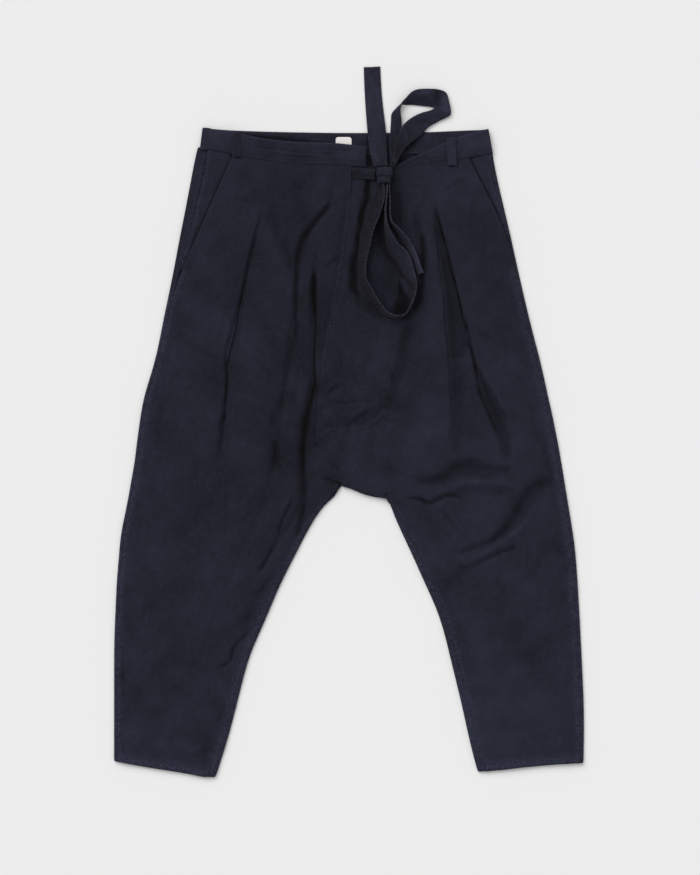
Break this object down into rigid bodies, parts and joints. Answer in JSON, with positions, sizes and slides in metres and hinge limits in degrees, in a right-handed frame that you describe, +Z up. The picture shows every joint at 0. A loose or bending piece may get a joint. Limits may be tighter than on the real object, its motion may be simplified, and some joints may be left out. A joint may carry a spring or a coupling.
{
  "type": "momohiki pants",
  "caption": "Tapered work trousers with a low gusseted crotch, pleated fronts, slant pockets and a waistband that ties, laid flat with the front up.",
  "frame": {"origin": "middle of the garment's footprint, on the surface that it lies on", "axes": "+X to the wearer's left, +Y from the hems to the waist, +Z up from the surface through the front of the garment"},
  "size_m": [0.7056, 1.0664, 0.0327],
  "materials": {
    "cloth": "washed navy cotton canvas, matt",
    "band": "the same canvas, folded and topstitched",
    "tape": "the same canvas, folded into a tie and edge-stitched",
    "label": "plain woven label, bare"
  },
  "bodies": {
    "root": {"back_right": "cloth", "back_left": "cloth", "front_right": "cloth", "front_left": "cloth", "crotch_gusset": "cloth", "pocket_facing_right": "cloth", "pocket_facing_left": "cloth", "waistband_back": "band", "waistband_front_right": "band", "waistband_front_left": "band", "belt_loop_right": "band", "belt_loop_left": "band", "label_blank": "label", "tie_stretch": "tape", "tie_tail_up": "tape", "tie_loop_up": "tape", "tie_loop_down": "tape", "tie_tail_down": "tape", "tie_knot": "tape"}
  },
  "joints": []
}
